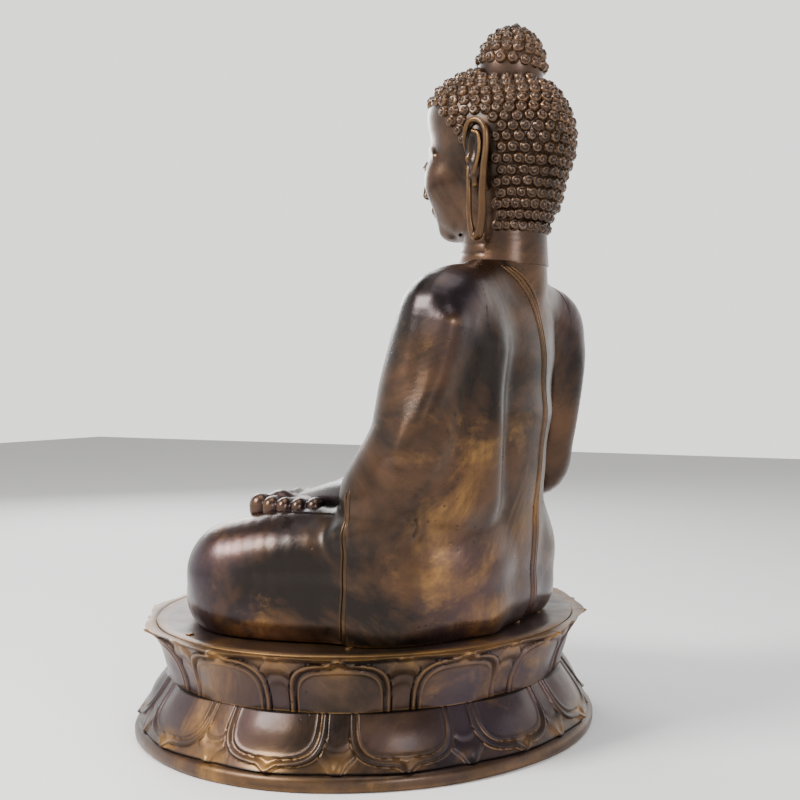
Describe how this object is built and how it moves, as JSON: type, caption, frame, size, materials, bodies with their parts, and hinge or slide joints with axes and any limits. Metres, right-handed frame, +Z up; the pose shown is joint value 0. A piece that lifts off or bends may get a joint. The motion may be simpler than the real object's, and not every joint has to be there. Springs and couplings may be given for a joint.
{
  "type": "seated buddha statue",
  "caption": "Seated figure in a robe on an oval double lotus pedestal, dark brown cast bronze with golden worn highlights, standing free on a flat foot ring.",
  "frame": {"origin": "centre of the pedestal's underside", "axes": "+Z up, -Y the way the figure looks, +X towards the figure's left"},
  "size_m": [0.732, 0.656, 1],
  "materials": {
    "pedestal_bronze": "dark brown patinated cast bronze, golden on the raised petal edges",
    "robe_bronze": "semi-gloss dark brown patina with a faint violet tone, rubbed lighter on raised folds",
    "skin_bronze": "semi-gloss brown patina, rubbed to golden brown on the high spots",
    "hair_bronze": "dark patina between the curls, bright on their tops",
    "joint_bronze": "bare cast bronze, unfinished"
  },
  "bodies": {
    "root": {"base_plinth": "pedestal_bronze", "crossed_legs": "robe_bronze", "head": "skin_bronze", "head_curls": "hair_bronze", "left_arm": "robe_bronze", "left_ear": "skin_bronze", "left_hand": "skin_bronze", "left_shoulder_spigot": "joint_bronze", "left_wrist_spigot": "joint_bronze", "lower_lotus": "pedestal_bronze", "neck_sleeve": "joint_bronze", "pedestal_joint_ring": "pedestal_bronze", "right_arm": "skin_bronze", "right_ear": "skin_bronze", "right_foot": "skin_bronze", "right_hand": "skin_bronze", "right_shoulder_spigot": "joint_bronze", "right_wrist_spigot": "joint_bronze", "robe_back_edge": "robe_bronze", "robe_chest_edge": "robe_bronze", "robe_shoulder_fold": "robe_bronze", "seat_deck": "pedestal_bronze", "seat_weld_tabs": "joint_bronze", "topknot": "hair_bronze", "topknot_curls": "hair_bronze", "topknot_finial": "hair_bronze", "torso": "robe_bronze", "torso_joint_ring": "joint_bronze", "upper_lotus": "pedestal_bronze"}
  },
  "joints": []
}
